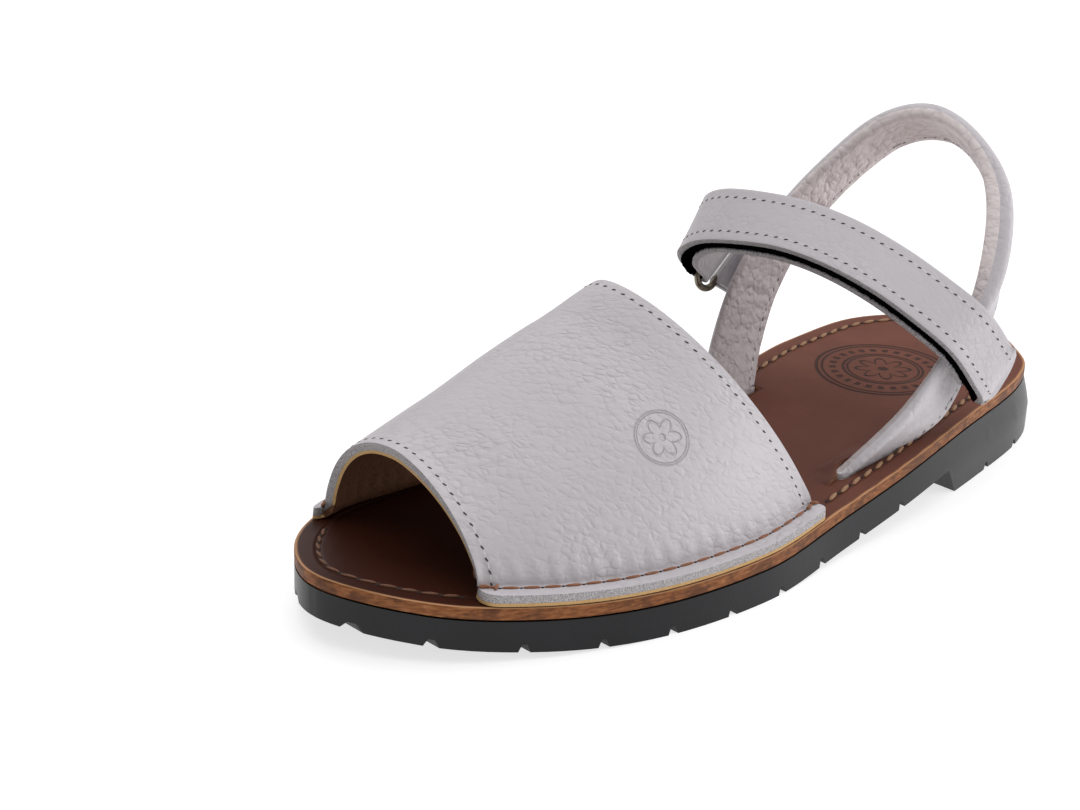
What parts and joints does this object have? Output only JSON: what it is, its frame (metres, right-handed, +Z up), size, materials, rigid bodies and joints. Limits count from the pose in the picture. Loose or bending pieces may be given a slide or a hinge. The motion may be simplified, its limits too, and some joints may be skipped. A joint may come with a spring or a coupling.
{
  "type": "leather slingback sandal",
  "caption": "Left open-toed leather sandal: wide vamp, folded slingback, hook-and-loop ankle strap through an oval ring, leather insole and rubber outsole with a low heel.",
  "frame": {"origin": "on the ground, in the middle of the sandal's footprint", "axes": "+Z up, the toe points to -Y, the outer (lateral) side of the left foot is +X"},
  "size_m": [0.0934, 0.2522, 0.0956],
  "materials": {
    "rubber": "satin black moulded rubber",
    "insole_leather": "smooth polished brown leather",
    "white_leather": "grained white leather",
    "hook_and_loop": "black hook-and-loop pile",
    "ring_metal": "darkened brass"
  },
  "bodies": {
    "root": {"outsole": "rubber", "insole": "insole_leather", "vamp": "white_leather", "slingback_and_ankle_strap": "white_leather", "hook_and_loop": "hook_and_loop", "ring": "ring_metal", "ring_tab": "white_leather"}
  },
  "joints": []
}
